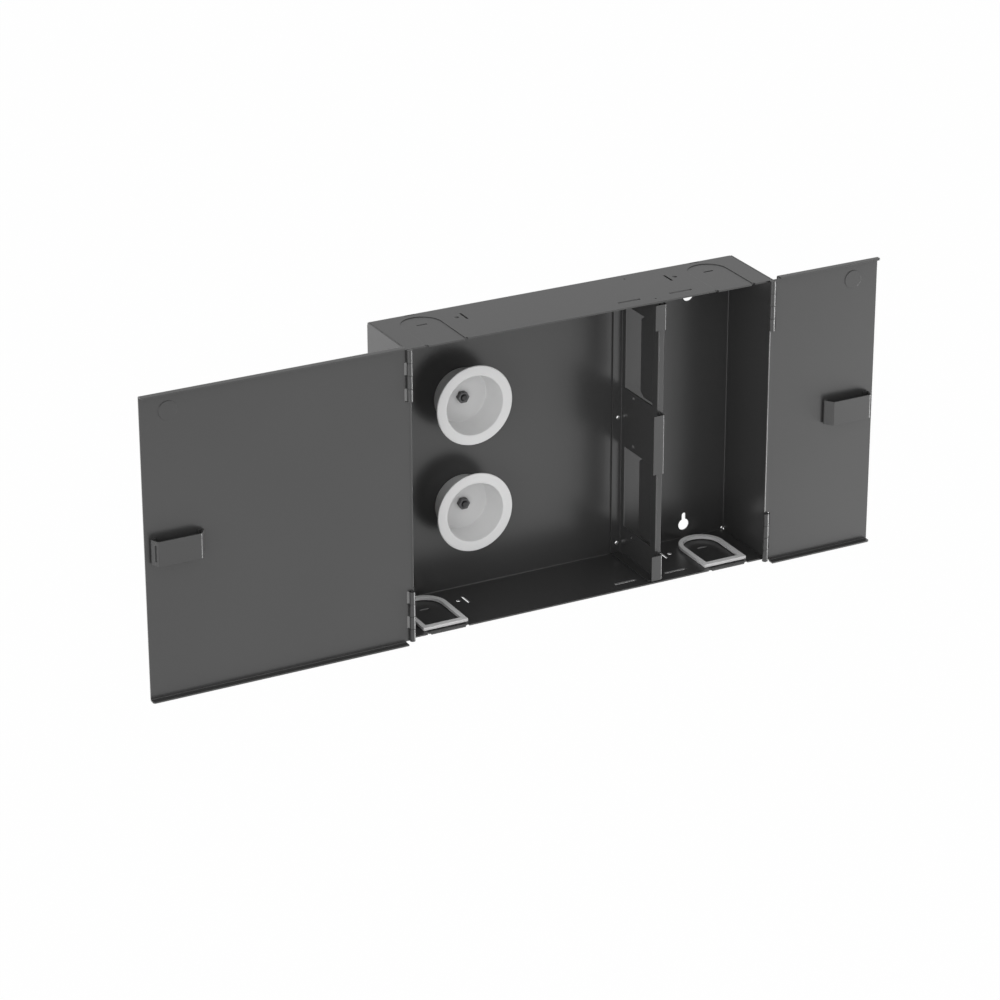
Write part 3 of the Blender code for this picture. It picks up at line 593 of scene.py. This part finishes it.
@dataclass
class SpoolSet:
    """One slack spool, turned anew with rounded edges, and its stud and nut."""

    shop: Workshop
    level: str
    wall: float = 0.0018
    rear_radius: float = 0.0295
    front_radius: float = 0.0328
    flange_thickness: float = 0.002
    flange_lip: float = 0.0009
    rear_rounding: float = 0.0008
    bend_rounding: float = 0.001
    floor_fillet: float = 0.0015
    stud_clearance: float = 0.0003
    stud_rounding: float = 0.0005
    nut_rounding: float = 0.0006
    steps: int = 144

    def build(self) -> None:
        """Make the spool and dress its fasteners."""
        self.make_spool()
        stud = f"{self.level}_spool_stud"
        nut = f"{self.level}_spool_nut"
        self.shop.dress_node(stud, Finishes.STUD_STEEL, self.stud_rounding)
        self.shop.dress_node(nut, Finishes.ZINC_STEEL, self.nut_rounding)

    def make_spool(self) -> None:
        """The moulded cup with its flared flange."""
        node = f"{self.level}_spool"
        low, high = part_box(node)
        centre = Vector(((low.x + high.x) / 2, high.y, (low.z + high.z) / 2))
        front = low.y - high.y
        flange_radius = (high.x - low.x) / 2
        flange_rear = front + self.flange_thickness
        mouth = self.front_radius - self.wall
        floor = self.rear_radius - self.wall
        stud_low, stud_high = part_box(f"{self.level}_spool_stud")
        hole = (stud_high.x - stud_low.x) / 2 + self.stud_clearance
        corners = [
            (hole, 0.0),
            (self.rear_radius, 0.0),
            (self.front_radius, flange_rear),
            (flange_radius, flange_rear),
            (flange_radius, front),
            (mouth, front),
            (floor, -self.wall),
            (hole, -self.wall),
        ]
        radii = [
            0,
            self.rear_rounding,
            self.bend_rounding,
            self.flange_lip,
            self.flange_lip,
            self.bend_rounding,
            self.floor_fillet,
            0,
        ]
        shell = turned(rounded(corners, radii), centre, self.steps)
        self.shop.add_piece(
            f"{node}_moulding", shell, Finishes.SPOOL_PLASTIC, "root", "spool_plastic", (node,)
        )


@dataclass
class PortTrims:
    """The D-shaped edgings round the cable ports."""

    shop: Workshop
    names: tuple[str, ...] = ("left_port_trim", "right_port_trim")
    rounding: float = 0.0008

    def build(self) -> None:
        """Dress the two trims."""
        for name in self.names:
            self.shop.dress_node(name, Finishes.TRIM_PLASTIC, self.rounding)


@dataclass(frozen=True)
class SoftBox:
    """A square lamp: its direction from the object, its side and how bright its face is."""

    name: str
    way: Direction
    side: float
    level: float


@dataclass
class Studio:
    """The camera of the photograph, soft light and a pale surround."""

    camera_place: Direction = (-1.66683, -3.06283, 1.44172)
    looking: Direction = (0.42902, 0.81020, -0.39940)
    focal_pixels: float = 3747.5
    frame_pixels: float = 1000.0
    sensor: float = 36.0
    shift_x: float = -0.01247
    furthest_seen: float = 50.0
    floor_drop: float = 1.8
    floor_size: float = 40.0
    lamp_distance: float = 2.6
    backdrop_radius: float = 39.0
    backdrop_height: float = 9.0
    backdrop_segments: int = 64
    stage_glow: float = 0.985
    stage_tone: float = 0.8
    stage_roughness: float = 0.9
    world_level: float = 0.67
    lamps: tuple[SoftBox, ...] = (
        SoftBox("right_key", (0.75, -0.55, -0.38), 1.4, 1.1),
        SoftBox("right_rim", (0.9, -0.2, -0.4), 1.3, 7.0),
        SoftBox("front_low_fill", (0.3, -0.85, -0.42), 1.4, 0.2),
        SoftBox("left_front_key", (-0.78, -0.62, 0.1), 1.8, 2.3),
        SoftBox("left_fill", (-1.0, 0.0, 0.1), 1.8, 1.2),
        SoftBox("left_back_rim", (-0.43, 0.81, -0.40), 1.4, 0.3),
        SoftBox("overhead_front", (0.0, -0.6, 0.8), 2.8, 0.4),
    )

    def build(self) -> None:
        """Set up the camera, the world, the lamps and the stage."""
        self.add_camera()
        self.add_world()
        for box in self.lamps:
            self.add_lamp(box)
        self.add_stage()
        bpy.context.scene.view_settings.view_transform = "Standard"

    def add_camera(self) -> None:
        """The camera at the photograph's place."""
        lens = bpy.data.cameras.new("camera")
        lens.sensor_width = self.sensor
        lens.sensor_fit = "HORIZONTAL"
        lens.lens = self.focal_pixels * self.sensor / self.frame_pixels
        lens.shift_x = self.shift_x
        lens.clip_end = self.furthest_seen
        camera = bpy.data.objects.new("camera", lens)
        camera.location = self.camera_place
        camera.rotation_mode = "QUATERNION"
        camera.rotation_quaternion = Vector(self.looking).to_track_quat("-Z", "Y")
        bpy.context.scene.collection.objects.link(camera)
        bpy.context.scene.camera = camera

    def add_world(self) -> None:
        """A plain, even world."""
        world = bpy.data.worlds.new("studio")
        world.use_nodes = True
        back = world.node_tree.nodes["Background"]
        back.inputs["Color"].default_value = (1, 1, 1, 1)
        back.inputs["Strength"].default_value = self.world_level
        bpy.context.scene.world = world

    def add_lamp(self, box: SoftBox) -> None:
        """Add one soft box that faces the object.

        Args:
            box: The lamp.
        """
        light = bpy.data.lights.new(box.name, "AREA")
        light.shape = "SQUARE"
        light.size = box.side
        light.energy = box.level * math.pi * box.side ** 2
        lamp = bpy.data.objects.new(box.name, light)
        lamp.location = Vector(box.way).normalized() * self.lamp_distance
        lamp.rotation_mode = "QUATERNION"
        lamp.rotation_quaternion = (-Vector(box.way)).to_track_quat("-Z", "Y")
        bpy.context.scene.collection.objects.link(lamp)

    def add_stage(self) -> None:
        """A pale floor, and a low pale wall far round it in which a level view ends."""
        low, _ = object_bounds()
        floor_z = low[2] - self.floor_drop
        paint = self.stage_paint()
        floor = bmesh.new()
        bmesh.ops.create_grid(
            floor, x_segments=1, y_segments=1, size=self.floor_size,
            matrix=Matrix.Translation((0, 0, floor_z)),
        )
        self.add_stage_piece("floor", floor, paint)
        wall = bmesh.new()
        bmesh.ops.create_cone(
            wall, cap_ends=False, segments=self.backdrop_segments, radius1=self.backdrop_radius,
            radius2=self.backdrop_radius, depth=self.backdrop_height,
            matrix=Matrix.Translation((0, 0, floor_z + self.backdrop_height / 2)),
        )
        bmesh.ops.reverse_faces(wall, faces=wall.faces)
        self.add_stage_piece("backdrop", wall, paint)

    def stage_paint(self) -> bpy.types.Material:
        """A pale paint that is seen as white and still shaded by the object.

        Returns:
            The material.
        """
        paint = Paint("stage_paint")
        paint.feed("Base Color", (*grey(self.stage_tone), 1.0))
        paint.feed("Roughness", self.stage_roughness)
        glow = paint.node("ShaderNodeEmission", {}, Color=(1, 1, 1, 1), Strength=1.0)
        path = paint.node("ShaderNodeLightPath", {})
        seen = Shade(paint.tree, path.outputs["Is Camera Ray"])
        glossy = Shade(paint.tree, path.outputs["Is Glossy Ray"])
        through = Shade(paint.tree, path.outputs["Is Transmission Ray"])
        direct = 1 - (1 - seen) * (1 - glossy) * (1 - through)
        mixed = paint.tree.nodes.new("ShaderNodeMixShader")
        paint.tree.links.new((direct * self.stage_glow).socket, mixed.inputs[0])
        paint.tree.links.new(paint.shader.outputs[0], mixed.inputs[1])
        paint.tree.links.new(glow.outputs[0], mixed.inputs[2])
        output = paint.tree.nodes["Material Output"]
        paint.tree.links.new(mixed.outputs[0], output.inputs["Surface"])
        return paint.material

    def add_stage_piece(
        self, name: str, shell: bmesh.types.BMesh, paint: bpy.types.Material
    ) -> None:
        """Add one piece that isn't part of the object.

        Args:
            name: The piece's name.
            shell: Its mesh, in place.
            paint: Its material.
        """
        mesh = bpy.data.meshes.new(name)
        shell.to_mesh(mesh)
        shell.free()
        mesh.materials.append(paint)
        piece = bpy.data.objects.new(name, mesh)
        bpy.context.scene.collection.objects.link(piece)
        piece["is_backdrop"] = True


def clear_scene() -> None:
    """Remove what the scene holds at the start."""
    for item in list(bpy.data.objects):
        bpy.data.objects.remove(item, do_unlink=True)


def main() -> None:
    """Build the whole scene."""
    logging.basicConfig(level=logging.INFO, format="%(name)s: %(message)s")
    clear_scene()
    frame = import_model()
    shop = Workshop(frame)
    Studio().build()
    Sheetwork(shop).build()
    for level in ("upper", "lower"):
        SpoolSet(shop, level).build()
    PortTrims(shop).build()


if __name__ == "__main__":
    main()
